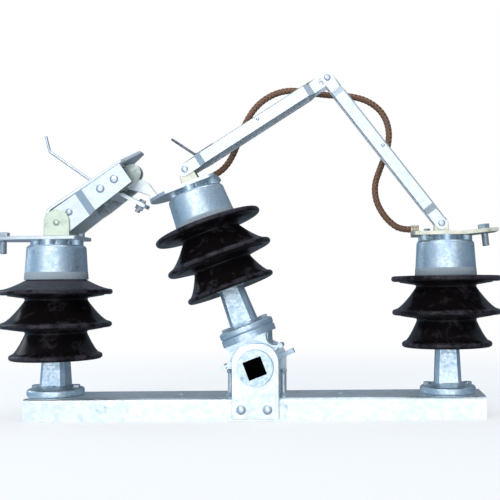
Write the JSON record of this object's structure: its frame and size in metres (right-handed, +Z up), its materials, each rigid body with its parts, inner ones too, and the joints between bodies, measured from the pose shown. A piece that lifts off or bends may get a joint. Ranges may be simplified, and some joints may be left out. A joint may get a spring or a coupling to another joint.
{
  "type": "rocking post air break disconnect switch pole",
  "caption": "Single pole outdoor disconnect switch: pedestal insulators on a channel, a rocking centre post, folding link arms, jaw contact and copper braid.",
  "frame": {"origin": "bottom centre of the whole part, on the surface that the channel's edges rest on", "axes": "+X along the channel from the fixed contact towards the hinged terminal, +Z up, hinge axes along +Y"},
  "size_m": [0.84, 0.178, 0.5621],
  "materials": {
    "galvanised_steel": "hot dip galvanised sheet",
    "galvanised_iron": "hot dip galvanised casting",
    "brown_porcelain": "gloss glaze",
    "passivated_steel": "yellow zinc passivate",
    "tinned_brass": "tinned",
    "contact_metal": "satin",
    "copper_braid": "woven bare copper",
    "lug_copper": "tinned",
    "dark_steel": "heat darkened",
    "bolt_steel": "galvanised"
  },
  "bodies": {
    "base": {"base_channel": "galvanised_steel", "bearing_plate_front": "galvanised_steel", "bearing_plate_back": "galvanised_steel", "stop_bolt_left": "bolt_steel", "stop_bolt_right": "bolt_steel", "left_stem": "galvanised_iron", "left_insulator": "brown_porcelain", "left_cap": "galvanised_iron", "right_stem": "galvanised_iron", "right_insulator": "brown_porcelain", "right_cap": "galvanised_iron", "left_terminal_plate": "galvanised_steel", "left_terminal_bolt": "bolt_steel", "contact_housing": "galvanised_steel", "contact_jaw_front": "contact_metal", "contact_jaw_back": "contact_metal", "contact_jaw_bolts": "bolt_steel", "contact_bracket": "passivated_steel", "contact_top_strip": "galvanised_steel", "fixed_arcing_horn": "bolt_steel", "mouth_guide": "galvanised_steel", "mouth_guide_bolt": "bolt_steel", "right_terminal_plate": "tinned_brass", "right_terminal_bolt": "bolt_steel", "right_arm_bracket": "tinned_brass", "right_pivot_pin": "bolt_steel", "braid_lug_right": "lug_copper", "copper_braid": "copper_braid"},
    "rocker": {"rocker_casting": "galvanised_iron", "centre_stem": "galvanised_iron", "centre_insulator": "brown_porcelain", "centre_cap": "galvanised_iron", "moving_plate": "galvanised_steel", "moving_blade": "galvanised_steel", "centre_arm_bracket": "tinned_brass", "centre_pivot_pin": "bolt_steel", "braid_lug_moving": "lug_copper"},
    "inner_arm": {"inner_arm": "galvanised_steel", "inner_arm_horn": "dark_steel"},
    "outer_arm": {"outer_arm": "galvanised_steel", "elbow_pin": "bolt_steel"}
  },
  "joints": [
    {"name": "tilt", "type": "hinge", "parent": "base", "child": "rocker", "pos_m": [0.02884, 0, 0.0828], "axis": [0, 1, 0], "range_deg": [0, 41], "deforming": ["copper_braid"]},
    {"name": "inner_arm_swing", "type": "hinge", "parent": "rocker", "child": "inner_arm", "pos_m": [-0.09111, 0, 0.40361], "axis": [0, 1, 0], "range_deg": [-58, 0]},
    {"name": "outer_arm_swing", "type": "hinge", "parent": "base", "child": "outer_arm", "pos_m": [0.32684, 0, 0.31], "axis": [0, 1, 0], "range_deg": [0, 39]}
  ],
  "couplings": [
    {"joint": "inner_arm_swing", "follows": "tilt", "ratio": -1.4025},
    {"joint": "outer_arm_swing", "follows": "tilt", "ratio": 0.9275}
  ]
}
